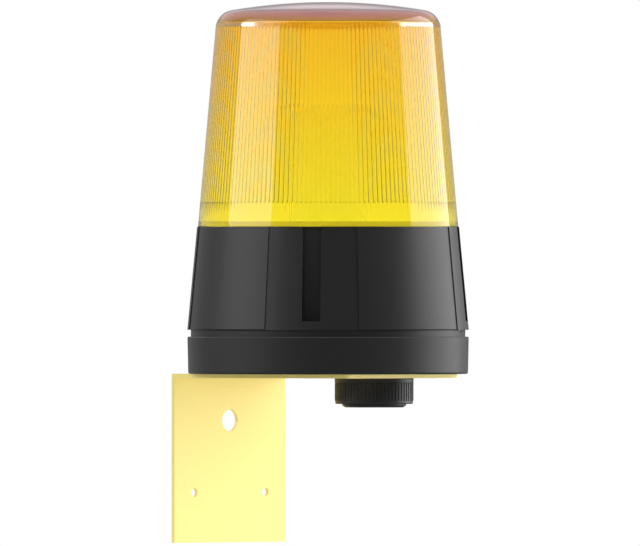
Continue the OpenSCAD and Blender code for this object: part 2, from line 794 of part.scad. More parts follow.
module reflector_plate() {
    color("gainsboro")
    on_beacon(deck_top)
    difference() {
        cylinder(r = reflector_r, h = reflector_t);
        translate([0, 0, -over]) {
            cylinder(r = socket_r + pass_clear, h = reflector_t + 2 * over);
            at_housing_screws() cylinder(d = m4_head_d + 2 * pass_clear, h = reflector_t + 2 * over);
        }
    }
}

module tube_socket() {
    color("ivory")
    on_beacon(board_top)
    difference() {
        union() {
            cylinder(r = socket_r, h = socket_top - board_top);
            translate([0, 0, reflector_top - board_top]) cylinder(r = socket_flange_r, h = socket_flange_t);
        }
        for (side = [-1, 1])
            translate([side * tube_pitch / 2, 0, socket_top - board_top - tube_end_h])
                cylinder(r = tube_r + seat_clear, h = tube_end_h + over);
    }
}

module flash_tube() {
    color([0.85, 0.92, 1, 0.5])
    on_beacon(socket_top) {
        for (side = [-1, 1])
            translate([side * tube_pitch / 2, 0, 0]) cylinder(r = tube_r, h = tube_h - tube_pitch / 2);
        translate([0, 0, tube_h - tube_pitch / 2]) rotate([90, 0, 0])
            rotate_extrude(angle = 180) translate([tube_pitch / 2, 0]) circle(r = tube_r);
    }
}

// Metal ends of the flash tube, seated in the socket
module tube_ends() {
    color("silver")
    on_beacon(socket_top - tube_end_h)
        for (side = [-1, 1])
            translate([side * tube_pitch / 2, 0, 0]) cylinder(r = tube_r, h = tube_end_h);
}

module tube_cover() {
    color([0.9, 0.95, 1, 0.3])
    on_beacon(socket_top)
        rotate_extrude()
            difference() {
                union() {
                    square([cover_r, cover_h - cover_r]);
                    translate([0, cover_h - cover_r]) intersection() {
                        circle(r = cover_r);
                        square(cover_r);
                    }
                }
                translate([0, -over]) square([cover_r - cover_t, cover_h - cover_r + over]);
                translate([0, cover_h - cover_r]) circle(r = cover_r - cover_t);
            }
}

module circuit_board() {
    color("seagreen")
    on_beacon(board_bottom)
    difference() {
        cylinder(r = board_r, h = board_t);
        translate([0, 0, -over]) at_board_screws()
            cylinder(d = m3_d + 2 * screw_clear, h = board_t + 2 * over);
    }
}

module board_screws() {
    color("silver")
    on_beacon(board_bottom) at_board_screws() mirror([0, 0, 1])
        pan_screw(m3_d, board_screw_l, m3_head_d, m4_head_h * m3_d / m4_d);
}

// Places a component under the circuit board, pointing down, at shares of the board's radius
module under_board(at) {
    on_beacon(board_bottom) translate([at[0] * board_r, at[1] * board_r, 0]) mirror([0, 0, 1]) children();
}

// Upright can with a rolled groove near its foot
module can(r, l) {
    difference() {
        cylinder(r = r, h = l, $fn = 48);
        translate([0, 0, l * 0.12]) ring(r + over, r * 0.94, l * 0.05);
        translate([0, 0, l * 0.97]) cylinder(r = r * 0.86, h = l, $fn = 48);
    }
}

module main_capacitor() {
    color("navy") under_board(MAIN_CAP_AT) can(main_cap_r, main_cap_l);
}

// Two core halves round a bobbin
module inverter_transformer() {
    yoke_h = transformer_h * 0.3;
    limb_w = transformer_w * 0.18;
    color("dimgray") under_board(TRANSFORMER_AT)
        translate([-transformer_w / 2, -transformer_d / 2, 0]) {
            cube([transformer_w, transformer_d, yoke_h]);
            translate([0, 0, transformer_h - yoke_h]) cube([transformer_w, transformer_d, yoke_h]);
            cube([limb_w, transformer_d, transformer_h]);
            translate([transformer_w - limb_w, 0, 0]) cube([limb_w, transformer_d, transformer_h]);
            translate([transformer_w / 2, transformer_d / 2, 0])
                cylinder(r = transformer_w * 0.24, h = transformer_h);
        }
}

module trigger_coil() {
    color("peru") under_board(COIL_AT) {
        cylinder(r = trigger_coil_r, h = coil_flange_t);
        cylinder(r = trigger_coil_r * 0.8, h = trigger_coil_l);
        translate([0, 0, trigger_coil_l - coil_flange_t]) cylinder(r = trigger_coil_r, h = coil_flange_t);
    }
}

module small_capacitors() {
    color("midnightblue") under_board(SMALL_CAPS_AT)
        for (i = [0 : small_cap_count - 1])
            translate([(i - (small_cap_count - 1) / 2) * small_cap_pitch, 0, 0]) can(small_cap_r, small_cap_l);
}

module resistors() {
    color("tan") under_board(RESISTORS_AT)
        for (i = [0 : resistor_count - 1])
            translate([(i - (resistor_count - 1) / 2) * resistor_pitch, -resistor_l / 2, resistor_r])
                rotate([-90, 0, 0]) {
                    cylinder(r = resistor_core_r, h = resistor_l, $fn = 32);
                    cylinder(r = resistor_r, h = resistor_end_l, $fn = 32);
                    translate([0, 0, resistor_l - resistor_end_l])
                        cylinder(r = resistor_r, h = resistor_end_l, $fn = 32);
                }
}

module switching_transistor() {
    color("black") under_board(TRANSISTOR_AT) {
        translate([-transistor_w / 2, -transistor_t / 2, leg_h])
            cube([transistor_w, transistor_t, transistor_h]);
        for (i = [-1 : 1])
            translate([i * transistor_w / 4 - leg_w / 2, -leg_t / 2, 0]) cube([leg_w, leg_t, leg_h]);
    }
}

// Cartridge fuse between its two clips
module fuse() {
    color("silver") under_board(FUSE_AT) {
        for (x = [-fuse_l / 2 - 1, fuse_l / 2 + 1 - clip_w])
            translate([x, -clip_d / 2, 0]) cube([clip_w, clip_d, clip_h]);
        translate([-fuse_l / 2, 0, fuse_h]) rotate([0, 90, 0]) cylinder(r = fuse_r, h = fuse_l, $fn = 48);
    }
}

module terminal_block() {
    color("gray")
    on_beacon(floor_t)
    difference() {
        translate([-terminal_w / 2, -terminal_d / 2, 0]) cube([terminal_w, terminal_d, terminal_h]);
        for (i = [0 : pole_count - 1])
            translate([(i - (pole_count - 1) / 2) * pole_pitch, 0, 0]) {
                translate([0, 0, terminal_h / 2])
                    cylinder(r = terminal_screw_r + seat_clear, h = terminal_h, $fn = 32);
                for (turn = [0, 180])
                    rotate(turn) translate([-wire_way_w / 2, terminal_d / 2 - wire_way_d, wire_way_h])
                        cube([wire_way_w, wire_way_d + over, wire_way_w]);
            }
    }
}

module terminal_screws() {
    color("silver")
    on_beacon(floor_t + terminal_h / 2)
        for (i = [0 : pole_count - 1])
            translate([(i - (pole_count - 1) / 2) * pole_pitch, 0, 0])
                difference() {
                    cylinder(r = terminal_screw_r, h = terminal_screw_h, $fn = 32);
                    translate([-terminal_screw_r - over, -terminal_slot_w / 2, terminal_screw_h * 0.8])
                        cube([2 * (terminal_screw_r + over), terminal_slot_w, terminal_screw_h]);
                }
}

// Buzzer's body: flange under the shelf, neck up through it, capsule inside the cap
module buzzer_body() {
    color([0.12, 0.12, 0.12])
    on_buzzer()
    difference() {
        union() {
            translate([0, 0, flange_bottom]) rotate_extrude($fn = 128)
                polygon([
                    [0, 0], [buzzer_r - edge_r / 2, 0], [buzzer_r, edge_r / 2],
                    [buzzer_r, buzzer_flange_t - edge_r / 2], [buzzer_r - edge_r / 2, buzzer_flange_t],
                    [0, buzzer_flange_t]
                ]);
            translate([0, 0, capsule_bottom]) cylinder(r = capsule_r, h = flange_bottom - capsule_bottom);
            translate([0, 0, -sheet_t]) cylinder(r = neck_r, h = sheet_t + floor_t + nut_h + neck_end_h);
        }
        translate([0, 0, capsule_bottom - over])
            cylinder(r = capsule_r - capsule_wall, h = -capsule_bottom - sheet_t - capsule_roof + over);
        translate([0, 0, capsule_bottom]) cylinder(r = neck_r - neck_wall, h = neck_bore_h);
        translate([0, 0, -sheet_t - buzzer_seal_h])
            ring(buzzer_seal_r + buzzer_seal_w + seat_clear, buzzer_seal_r - seat_clear, buzzer_seal_h + over);
    }
}

// Knurled cap with its sounding boss
module buzzer_cap() {
    step = 360 / knurl_count;
    crest = buzzer_r - crest_step;
    color([0.12, 0.12, 0.12])
    on_buzzer()
    difference() {
        union() {
            translate([0, 0, knurl_bottom]) linear_extrude(knurl_h)
                polygon([for (i = [0 : knurl_count - 1], corner = KNURL_CORNERS)
                    turned(crest - corner[1] * knurl_depth, (i + corner[0]) * step)]);
            translate([0, 0, boss_bottom]) rotate_extrude($fn = 128)
                polygon([
                    [0, 0], [boss_end_r, 0], [boss_r, boss_h * 0.6], [boss_r, boss_h],
                    [cap_band_r - edge_r, boss_h], [cap_band_r, boss_h + edge_r],
                    [cap_band_r, boss_h + cap_band_h + over], [0, boss_h + cap_band_h + over]
                ]);
        }
        // Hollow that takes the capsule, then the disc's seat
        translate([0, 0, capsule_bottom - disc_t]) cylinder(r = capsule_r + seat_clear, h = knurl_h + over);
        translate([0, 0, boss_bottom + cap_wall])
            cylinder(r = boss_end_r - cap_wall, h = knurl_h + cap_band_h + boss_h);
        // Sound holes
        translate([0, 0, boss_bottom - over]) {
            cylinder(r = sound_hole_r, h = 2 * over + cap_wall, $fn = 32);
            for (i = [0 : sound_hole_count - 1])
                rotate(i * 360 / sound_hole_count) translate([boss_r / 2, 0, 0])
                    cylinder(r = sound_hole_r, h = 2 * over + cap_wall, $fn = 32);
        }
    }
}

module buzzer_seal() {
    color([0.1, 0.1, 0.1])
    on_buzzer(-sheet_t - buzzer_seal_h) ring(buzzer_seal_r + buzzer_seal_w, buzzer_seal_r, buzzer_seal_h);
}

module piezo_disc() {
    color("goldenrod")
    on_buzzer(capsule_bottom - disc_t) {
        cylinder(r = capsule_r - disc_gap, h = disc_t / 2);
        cylinder(r = capsule_r - disc_rim, h = disc_t);
    }
}

module buzzer_nut() {
    color("silver")
    on_buzzer(floor_t)
    difference() {
        cylinder(d = nut_flats / cos(30), h = nut_h, $fn = 6);
        translate([0, 0, -over]) cylinder(r = neck_r + thread_clear, h = nut_h + 2 * over);
    }
}

// Rubber grommet in the floor, its lower flange inside the shelf's thickness
module cable_grommet() {
    color([0.15, 0.15, 0.15])
    on_beacon() translate([0, entry_offset, 0])
    difference() {
        union() {
            translate([0, 0, -entry_flange_t]) cylinder(r = entry_flange_r, h = entry_flange_t);
            translate([0, 0, -entry_flange_t]) cylinder(r = entry_neck_r, h = floor_t + 2 * entry_flange_t);
            translate([0, 0, floor_t]) cylinder(r = entry_flange_r, h = entry_flange_t);
        }
        translate([0, 0, -entry_flange_t - over])
            cylinder(r = entry_bore_r, h = floor_t + 2 * (entry_flange_t + over));
    }
}

wall_bracket();
base_ring();
housing_seal();
upper_housing();
base_screws();
housing_screws();
lens();
lens_ring();
lens_seal();
reflector_plate();
tube_socket();
flash_tube();
tube_ends();
tube_cover();
circuit_board();
board_screws();
main_capacitor();
inverter_transformer();
trigger_coil();
small_capacitors();
resistors();
switching_transistor();
fuse();
terminal_block();
terminal_screws();
buzzer_body();
buzzer_cap();
buzzer_seal();
piezo_disc();
buzzer_nut();
cable_grommet();
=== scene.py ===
"""Xenon warning beacon with buzzer on its folded wall bracket: finishes, lens, light and camera."""

import math

import bmesh
import bpy
from mathutils import Matrix, Vector


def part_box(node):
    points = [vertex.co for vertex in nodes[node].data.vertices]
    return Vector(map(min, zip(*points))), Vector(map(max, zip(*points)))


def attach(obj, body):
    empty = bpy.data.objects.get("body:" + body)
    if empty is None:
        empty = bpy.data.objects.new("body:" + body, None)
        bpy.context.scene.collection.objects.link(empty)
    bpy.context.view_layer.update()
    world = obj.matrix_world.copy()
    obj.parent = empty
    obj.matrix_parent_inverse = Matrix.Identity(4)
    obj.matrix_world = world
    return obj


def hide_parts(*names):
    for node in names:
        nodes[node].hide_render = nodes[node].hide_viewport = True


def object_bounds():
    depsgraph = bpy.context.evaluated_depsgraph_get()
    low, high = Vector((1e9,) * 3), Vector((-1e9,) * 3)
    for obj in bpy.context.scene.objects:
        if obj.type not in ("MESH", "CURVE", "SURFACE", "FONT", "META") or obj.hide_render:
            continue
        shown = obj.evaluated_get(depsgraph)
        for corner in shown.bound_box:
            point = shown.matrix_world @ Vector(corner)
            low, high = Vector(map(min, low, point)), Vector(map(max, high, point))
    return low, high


MM = 0.001

# Photograph: its width and scale, the column of the beacon's axis, the row of the shelf, and its middle
PHOTO_W = 640
MM_PER_PIXEL = 0.4975
AXIS_COLUMN = 328.1
SHELF_ROW = 373.9
MIDDLE_COLUMN = 320.0
MIDDLE_ROW = 273.0

# Camera: its turn in degrees, its focal length and sensor in millimetres, and its far clip in metres
CAMERA_TURN = -45
FOCAL_MM = 1180.0
SENSOR_MM = 36.0
CLIP_END = 60.0

# Sizes of the lens that its box doesn't give, in millimetres and degrees
LENS_TAPER = 5.07
LENS_WALL = 2.0
SHOULDER_R = 9.4
CROWN_R = 287.0
CROWN_T = 4.7
CEILING_CORNER_R = 1.0
CEILING_EASE = 0.08
BAND_H = 11.8
RING_H = 2.5
RING_STEP = 0.8
EDGE_R = 0.2
FOOT_LAND = 2
SHOULDER_STEPS = 10
CROWN_STEPS = 14
SHARP_DEGREES = 30.0

# Flutes inside the lens: number, depth, slopes at both ends, points in each and share of the pitch filled
FLUTE_COUNT = 160
FLUTE_DEPTH = 0.5
FLUTE_END = 0.35
FLUTE_TOP_END = 0.0875
FLUTE_STEPS = 8
FLUTE_SHARE = 0.6
# Points nearer than this, in millimetres, are joined where the turned shape closes
SEAM_MM = 0.004

# The lens's plastic: tints at its foot and top, whose change from a lighter foot to a deeper top is
# painted shade, the ceiling's tint, which is a painted reflection, and the tint that light takes on in
# its depth
LENS_IOR = 1.49
TINT_FOOT = (1.0, 0.935, 0.12)
TINT_TOP = (0.985, 0.72, 0.113)
CEILING_PAINTED_REFLECTION = (0.94, 0.58, 0.4)
DEPTH_TINT = (0.32, 0.05, 0.79, 1)
DEPTH_DENSITY = 60.0
GLOSS_TINT = (1.0, 0.76, 0.86, 1)
# Depths below the lens's top, in millimetres, between which the wall's tint becomes the ceiling's painted
# reflection
WALL_TINT_BELOW = 9.2
CEILING_TINT_ABOVE = 8.2
# How clear the wall and the satin ceiling are, and how slanting a look has to be to show the satin
WALL_CLEARNESS = 0.94
CEILING_CLEARNESS = 0.3
WALL_ROUGHNESS = 0.03
CEILING_ROUGHNESS = 0.4
SATIN_FROM = 0.3
SATIN_FULL = 0.5

# Floor: its radius and how far it lies below the part, in metres, and its sides
FLOOR_R = 1.2
FLOOR_DROP = 0.45
FLOOR_SIDES = 96

# Strength of the world's white, seen by the camera and seen through clear plastic
WHITE_SEEN = 1.0
WHITE_THROUGH = 1.35

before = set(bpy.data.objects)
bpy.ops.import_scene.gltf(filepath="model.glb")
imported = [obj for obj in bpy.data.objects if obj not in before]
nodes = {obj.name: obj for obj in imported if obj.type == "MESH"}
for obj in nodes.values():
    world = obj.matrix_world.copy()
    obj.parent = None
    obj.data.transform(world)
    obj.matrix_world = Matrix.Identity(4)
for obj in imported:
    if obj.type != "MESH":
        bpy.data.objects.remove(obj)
cad_box = [list(corner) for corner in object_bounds()]


def set_inputs(node, **values):
    """Sets a shader node's inputs by name, with underscores for the spaces."""
    for name, value in values.items():
        node.inputs[name.replace("_", " ")].default_value = value


def new_material(name):
    """An empty node material, with its tree and its output node."""
    material = bpy.data.materials.new(name)
    material.use_nodes = True
    tree = material.node_tree
    tree.nodes.clear()
    output = tree.nodes.new("ShaderNodeOutputMaterial")
    return material, tree, output


def object_position(tree):
    return tree.nodes.new("ShaderNodeTexCoord").outputs["Object"]


def noise(tree, position, scale, detail=3.0):
    texture = tree.nodes.new("ShaderNodeTexNoise")
    set_inputs(texture, Scale=scale, Detail=detail)
    tree.links.new(position, texture.inputs["Vector"])
    return texture.outputs["Fac"]


def spread(tree, factor, low, high):
    """Maps a 0 to 1 factor onto the range low to high."""
    mapped = tree.nodes.new("ShaderNodeMapRange")
    set_inputs(mapped, To_Min=low, To_Max=high)
    tree.links.new(factor, mapped.inputs["Value"])
    return mapped.outputs["Result"]


def mixed_colour(tree, factor, first, second):
    """Mixes two colours, each given as red, green and blue or as another node's output."""
    mix = tree.nodes.new("ShaderNodeMix")
    mix.data_type = "RGBA"
    for socket, colour in (("A", first), ("B", second)):
        if isinstance(colour, bpy.types.NodeSocket):
            tree.links.new(colour, mix.inputs[socket])
        else:
            mix.inputs[socket].default_value = (*colour, 1)
    tree.links.new(factor, mix.inputs["Factor"])
    return mix.outputs["Result"]


def bump(tree, height, distance, strength):
    node = tree.nodes.new("ShaderNodeBump")
    set_inputs(node, Distance=distance, Strength=strength)
    tree.links.new(height, node.inputs["Height"])
    return node.outputs["Normal"]


def principled(tree, output, **values):
    shader = tree.nodes.new("ShaderNodeBsdfPrincipled")
    set_inputs(shader, **values)
    tree.links.new(shader.outputs["BSDF"], output.inputs["Surface"])
    return shader


def moulded_plastic(name, colour, shade, roughness, grain=0.00002, ior=1.5):
    """Moulded plastic: a fine spark-eroded grain and a slow change of tone and gloss."""
    material, tree, output = new_material(name)
    shader = principled(tree, output, Roughness=roughness, IOR=ior)
    position = object_position(tree)
    slow = noise(tree, position, scale=25.0)
    fine = noise(tree, position, scale=2600.0, detail=2.0)
    tree.links.new(mixed_colour(tree, slow, colour, shade), shader.inputs["Base Color"])
    tree.links.new(spread(tree, slow, roughness - 0.04, roughness + 0.04), shader.inputs["Roughness"])
    tree.links.new(bump(tree, fine, distance=grain, strength=0.5), shader.inputs["Normal"])
    return material


def powder_coat(name, colour, shade):
    """Powder coat over sheet steel: a slow change of tone and a fine orange peel."""
    material, tree, output = new_material(name)
    shader = principled(tree, output, IOR=1.5, Coat_Weight=0.25, Coat_Roughness=0.25)
    position = object_position(tree)
    slow = noise(tree, position, scale=12.0)
    peel = noise(tree, position, scale=900.0, detail=2.0)
    tree.links.new(mixed_colour(tree, slow, colour, shade), shader.inputs["Base Color"])
    tree.links.new(spread(tree, peel, 0.36, 0.46), shader.inputs["Roughness"])
    tree.links.new(bump(tree, peel, distance=0.00003, strength=0.6), shader.inputs["Normal"])
    return material


def turned_metal(name, colour, roughness):
    """Plated or rolled metal with fine drawing marks."""
    material, tree, output = new_material(name)
    shader = principled(tree, output, Metallic=1.0)
    position = object_position(tree)
    marks = noise(tree, position, scale=1500.0)
    dark = tuple(0.8 * channel for channel in colour)
    tree.links.new(mixed_colour(tree, marks, dark, colour), shader.inputs["Base Color"])
    tree.links.new(spread(tree, marks, roughness - 0.06, roughness + 0.06), shader.inputs["Roughness"])
    tree.links.new(bump(tree, marks, distance=0.00001, strength=0.4), shader.inputs["Normal"])
    return material


def clear_glass(name):
    """Thin clear glass, which bends light little."""
    material, tree, output = new_material(name)
    shader = principled(tree, output, Base_Color=(0.98, 0.99, 1.0, 1), Transmission_Weight=1.0, IOR=1.08)
    wave = noise(tree, object_position(tree), scale=60.0)
    tree.links.new(spread(tree, wave, 0.0, 0.02), shader.inputs["Roughness"])
    return material


def height_share(tree, position, low, high):
    """0 at the height low and 1 at the height high, in metres."""
    parts = tree.nodes.new("ShaderNodeSeparateXYZ")
    tree.links.new(position, parts.inputs[0])
    share = tree.nodes.new("ShaderNodeMapRange")
    set_inputs(share, From_Min=low, From_Max=high)
    tree.links.new(parts.outputs["Z"], share.inputs["Value"])
    return share.outputs["Result"]


def satin_share(tree):
    """1 on the lens's ceiling where it is looked at on the slant, and 0 elsewhere."""
    ceiling = tree.nodes.new("ShaderNodeAttribute")
    ceiling.attribute_name = "ceiling"
    slant = tree.nodes.new("ShaderNodeLayerWeight")
    slanting = tree.nodes.new("ShaderNodeMapRange")
    set_inputs(slanting, From_Min=SATIN_FROM, From_Max=SATIN_FULL)
    tree.links.new(slant.outputs["Facing"], slanting.inputs["Value"])
    both = tree.nodes.new("ShaderNodeMath")
    both.operation = "MULTIPLY"
    tree.links.new(ceiling.outputs["Fac"], both.inputs[0])
    tree.links.new(slanting.outputs["Result"], both.inputs[1])
    return both.outputs[0]


def amber_plastic(name):
    """Clear amber lens plastic with painted shade that deepens its tint towards the top, and a satin
    ceiling under the thick dome whose pinkish tint is a painted reflection.
    """
    material, tree, output = new_material(name)
    shader = principled(tree, output, Transmission_Weight=1.0, IOR=LENS_IOR, Specular_Tint=GLOSS_TINT)
    position = object_position(tree)
    low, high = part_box("lens")
    # Painted shade: the wall's tint goes from a lighter foot to a deeper top.
    wall_tint = mixed_colour(tree, height_share(tree, position, low.z, high.z), TINT_FOOT, TINT_TOP)
    # Painted reflection: within the dome the wall's tint gives way to the pinkish ceiling tint.
    wall_end, ceiling_start = high.z - WALL_TINT_BELOW * MM, high.z - CEILING_TINT_ABOVE * MM
    in_dome = height_share(tree, position, wall_end, ceiling_start)
    tree.links.new(mixed_colour(tree, in_dome, wall_tint, CEILING_PAINTED_REFLECTION), shader.inputs["Base Color"])
    satin = satin_share(tree)
    clearness = spread(tree, satin, WALL_CLEARNESS, CEILING_CLEARNESS)
    tree.links.new(clearness, shader.inputs["Transmission Weight"])
    tree.links.new(spread(tree, satin, WALL_ROUGHNESS, CEILING_ROUGHNESS), shader.inputs["Roughness"])
    wave = noise(tree, position, scale=150.0)
    tree.links.new(bump(tree, wave, distance=0.00002, strength=0.3), shader.inputs["Normal"])
    absorption = tree.nodes.new("ShaderNodeVolumeAbsorption")
    set_inputs(absorption, Color=DEPTH_TINT, Density=DEPTH_DENSITY)
    tree.links.new(absorption.outputs["Volume"], output.inputs["Volume"])
    return material


def lens_profile(foot_r, height):
    """The lens's closed section, from its foot up its outer face and down its inner face.

    Each point has a radius and a height in millimetres, and a mark: 1 on the flutes, 2 on the ceiling."""
    taper = math.radians(LENS_TAPER)
    crown_z = height - CROWN_R

    def wall_r(z, inset):
        return foot_r - inset / math.cos(taper) - z * math.tan(taper)

    def top(wall, crown, corner_r):
        """Corner and crown inside the outer face by a wall and a crown thickness."""
        across = foot_r * math.cos(taper) - wall - corner_r - crown_z * math.sin(taper)
        along = math.sqrt((CROWN_R - crown - corner_r) ** 2 - across**2)
        centre_r = across * math.cos(taper) - along * math.sin(taper)
        centre_z = crown_z + across * math.sin(taper) + along * math.cos(taper)
        end = math.atan2(centre_z - crown_z, centre_r)
        corner = [taper + (end - taper) * i / SHOULDER_STEPS for i in range(SHOULDER_STEPS + 1)]
        dome = [end + (math.pi / 2 - end) * i / CROWN_STEPS for i in range(1, CROWN_STEPS + 1)]

        def arc(r, z, radius, angles):
            return [(r + radius * math.cos(angle), z + radius * math.sin(angle), 0) for angle in angles]

        return arc(centre_r, centre_z, corner_r, corner) + arc(0, crown_z, CROWN_R - crown, dome)

    def on_wall(z, inset, mark=0):
        return (wall_r(z, inset), z, mark)

    ceiling = [(r, z, 2) for r, z, mark in reversed(top(LENS_WALL, CROWN_T, CEILING_CORNER_R))]
    high = ceiling[-1][1] - CEILING_EASE
    step_r = wall_r(0, LENS_WALL) + RING_STEP
    outer = [(step_r, 0, 0), (foot_r - EDGE_R, 0, 0), on_wall(EDGE_R, 0), on_wall(FOOT_LAND, 0)]
    outer += [on_wall(high, 0)] + top(0, 0, SHOULDER_R)
    inner = ceiling + [on_wall(high, LENS_WALL), on_wall(high - FLUTE_TOP_END, LENS_WALL, 1)]
    inner += [on_wall(BAND_H + FLUTE_END, LENS_WALL, 1), on_wall(BAND_H, LENS_WALL)]
    inner += [on_wall(RING_H, LENS_WALL), (step_r, RING_H, 0)]
    return outer + inner + [outer[0]]


class NodeTree:
    """Builds a Geometry Nodes tree with short calls."""

    def __init__(self, name):
        self.tree = bpy.data.node_groups.new(name, "GeometryNodeTree")
        self.tree.interface.new_socket("Geometry", in_out="INPUT", socket_type="NodeSocketGeometry")
        self.tree.interface.new_socket("Geometry", in_out="OUTPUT", socket_type="NodeSocketGeometry")
        self.group_in = self.tree.nodes.new("NodeGroupInput")
        self.group_out = self.tree.nodes.new("NodeGroupOutput")

    def size(self, name, kind="NodeSocketFloat"):
        self.tree.interface.new_socket(name, in_out="INPUT", socket_type=kind)
        return self.group_in.outputs[name]

    def add(self, kind, values=None, **settings):
        node = self.tree.nodes.new(kind)
        for setting, value in settings.items():
            setattr(node, setting, value)
        for key, value in (values or {}).items():
            if isinstance(value, bpy.types.NodeSocket):
                self.tree.links.new(value, node.inputs[key])
            else:
                node.inputs[key].default_value = value
        return node

    def math(self, operation, *values):
        return self.add("ShaderNodeMath", dict(enumerate(values)), operation=operation).outputs[0]


def set_tree_inputs(modifier, tree, **values):
    for item in tree.interface.items_tree:
        name = item.name.replace(" ", "_")
        if item.in_out == "INPUT" and name in values:
            modifier[item.identifier] = values[name]


def fluted_lens_tree():
    """Turns the lens's section round its axis and raises the flutes on its inner wall."""
    nt = NodeTree("fluted_lens")
    count = nt.size("Flute Count", "NodeSocketInt")
    steps = nt.size("Steps Per Flute", "NodeSocketInt")
    depth = nt.size("Flute Depth")
    points = nt.size("Section Points", "NodeSocketInt")
    finish = nt.size("Finish", "NodeSocketMaterial")
    section = nt.group_in.outputs["Geometry"]

    # Each column of the grid is one turned section, and each row one of its points
    around = nt.math("MULTIPLY", count, steps)
    columns = nt.math("ADD", around, 1)
    grid = nt.add("GeometryNodeMeshGrid", {"Vertices X": columns, "Vertices Y": points})
    index = nt.add("GeometryNodeInputIndex").outputs[0]
    column = nt.math("FLOOR", nt.math("DIVIDE", nt.math("ADD", index, 0.5), points))
    row = nt.math("SUBTRACT", index, nt.math("MULTIPLY", column, points))
    angle = nt.math("MULTIPLY", nt.math("DIVIDE", column, around), math.tau)

    # The section's point for each row, with its mark taken apart into flutes and ceiling
    position = nt.add("GeometryNodeInputPosition").outputs[0]
    at_row = nt.add("GeometryNodeSampleIndex", {"Geometry": section, "Value": position, "Index": row},
                    data_type="FLOAT_VECTOR", domain="POINT")
    parts = nt.add("ShaderNodeSeparateXYZ", {"Vector": at_row.outputs[0]})
    radius, mark, height = parts.outputs["X"], parts.outputs["Y"], parts.outputs["Z"]
    off_wall = nt.math("MINIMUM", nt.math("ABSOLUTE", nt.math("SUBTRACT", mark, 1.0)), 1.0)
    on_wall = nt.math("SUBTRACT", 1.0, off_wall)
    on_ceiling = nt.math("MAXIMUM", nt.math("SUBTRACT", mark, 1.0), 0.0)

    # A rounded rib in the middle of each flute's pitch, with a hair added so that no pitch falls short
    share = nt.math("FRACT", nt.math("ADD", nt.math("DIVIDE", column, steps), 0.0001))
    from_middle = nt.math("ABSOLUTE", nt.math("SUBTRACT", share, 0.5))
    wave = nt.math("COSINE", nt.math("MULTIPLY", from_middle, math.pi / FLUTE_SHARE))
    rib = nt.math("MAXIMUM", wave, 0.0)
    inward = nt.math("MULTIPLY", nt.math("MULTIPLY", rib, depth), on_wall)
    turned_r = nt.math("SUBTRACT", radius, inward)
    place = nt.add("ShaderNodeCombineXYZ", {
        "X": nt.math("MULTIPLY", turned_r, nt.math("COSINE", angle)),
        "Y": nt.math("MULTIPLY", turned_r, nt.math("SINE", angle)),
        "Z": height,
    })
    marked = nt.add("GeometryNodeStoreNamedAttribute",
                    {"Geometry": grid.outputs["Mesh"], "Name": "ceiling", "Value": on_ceiling},
                    data_type="FLOAT", domain="POINT")
    shaped = nt.add("GeometryNodeSetPosition",
                    {"Geometry": marked.outputs[0], "Position": place.outputs[0]})
    closed = nt.add("GeometryNodeMergeByDistance",
                    {"Geometry": shaped.outputs[0], "Distance": SEAM_MM * MM})
    real = nt.add("GeometryNodeRealizeInstances", {"Geometry": closed.outputs[0]})
    painted = nt.add("GeometryNodeSetMaterial", {"Geometry": real.outputs[0], "Material": finish})
    nt.tree.links.new(painted.outputs[0], nt.group_out.inputs[0])
    return nt.tree


def baked(name, source, place):
    """The evaluated mesh of source as a finished object, moved to its place in its mesh."""
    graph = bpy.context.evaluated_depsgraph_get()
    mesh = bpy.data.meshes.new_from_object(source.evaluated_get(graph))
    mesh.name = name
    bpy.data.objects.remove(source)
    mesh.transform(place)
    result = bpy.data.objects.new(name, mesh)
    bpy.context.scene.collection.objects.link(result)
    return result


def outward(piece):
    """Recalculates the faces' directions and shades smooth across all but sharp edges."""
    shape = bmesh.new()
    shape.from_mesh(piece.data)
    bmesh.ops.recalc_face_normals(shape, faces=shape.faces)
    shape.to_mesh(piece.data)
    shape.free()
    piece.data.shade_smooth()
    piece.data.set_sharp_from_angle(angle=math.radians(SHARP_DEGREES))


def make_lens(finish):
    """Turns the finely fluted lens, which stands in for the frame's own."""
    low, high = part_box("lens")
    centre = (low + high) / 2
    foot_r = (high.x - low.x) / 2 / MM
    section = lens_profile(foot_r, (high.z - low.z) / MM)
    mesh = bpy.data.meshes.new("lens_section")
    mesh.from_pydata([(r * MM, mark, z * MM) for r, z, mark in section], [], [])
    source = bpy.data.objects.new("lens_section", mesh)
    bpy.context.scene.collection.objects.link(source)
    modifier = source.modifiers.new("flutes", "NODES")
    modifier.node_group = fluted_lens_tree()
    set_tree_inputs(
        modifier, modifier.node_group, Flute_Count=FLUTE_COUNT, Steps_Per_Flute=FLUTE_STEPS,
        Flute_Depth=FLUTE_DEPTH * MM, Section_Points=len(section), Finish=finish,
    )
    lens = baked("fluted_lens", source, Matrix.Translation((centre.x, centre.y, low.z)))
    outward(lens)
    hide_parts("lens")
    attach(lens, "root")


def paint(finishes):
    """Gives each frame node the finish named for it."""
    for finish, names in finishes:
        for name in names:
            data = nodes[name].data
            data.materials.clear()
            data.materials.append(finish)


amber = amber_plastic("amber_plastic")
